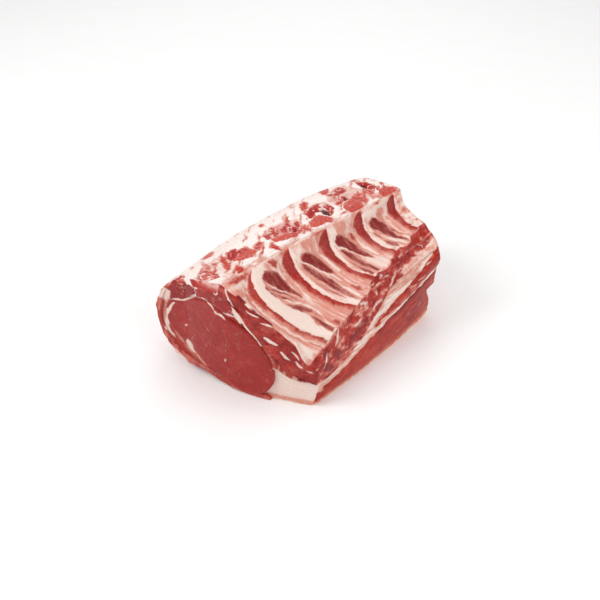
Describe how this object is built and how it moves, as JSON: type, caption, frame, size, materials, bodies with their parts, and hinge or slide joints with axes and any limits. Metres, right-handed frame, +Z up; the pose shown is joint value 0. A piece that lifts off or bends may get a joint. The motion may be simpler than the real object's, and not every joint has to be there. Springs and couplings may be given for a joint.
{
  "type": "beef rib roast",
  "caption": "Raw bone-in beef rib roast lying on its fat cover, curved ribs up, with a clean cut through the eye muscle at one end.",
  "frame": {"origin": "centre of the footprint, on the surface that the roast lies on", "axes": "+Z up, -Y out of the loin-end cut with the eye muscle, +X towards the sawn rib ends, Y along the backbone"},
  "size_m": [0.185, 0.3024, 0.1336],
  "materials": {
    "rib_bone": "moist pale bone under thin skin",
    "sawn_bone": "wet sawn bone, red and spongy",
    "outer_fat": "waxy fat, slightly yellow",
    "white_fat": "smooth waxy fat",
    "seam_fat": "waxy fat with pink streaks",
    "eye_lean": "moist cut lean, fine grain",
    "dark_lean": "moist cut lean, fine grain",
    "cap_lean": "moist lean, grain along the muscle",
    "rib_lean": "moist lean under a thin clear skin",
    "outer_lean": "moist trimmed lean with traces of fat"
  },
  "bodies": {
    "root": {"rib_1": "rib_bone", "rib_2": "rib_bone", "rib_3": "rib_bone", "rib_4": "rib_bone", "rib_5": "rib_bone", "rib_6": "rib_bone", "vertebra_1": "sawn_bone", "vertebra_2": "sawn_bone", "vertebra_3": "sawn_bone", "vertebra_4": "sawn_bone", "vertebra_5": "sawn_bone", "vertebra_6": "sawn_bone", "fat_cover": "outer_fat", "eye_muscle": "eye_lean", "multifidus_muscle": "dark_lean", "spinalis_muscle": "dark_lean", "cap_lean": "cap_lean", "cap_lean_upper": "cap_lean", "rib_meat": "rib_lean", "rim_muscle": "outer_lean", "back_fat": "white_fat", "seam_fat": "seam_fat"}
  },
  "joints": []
}
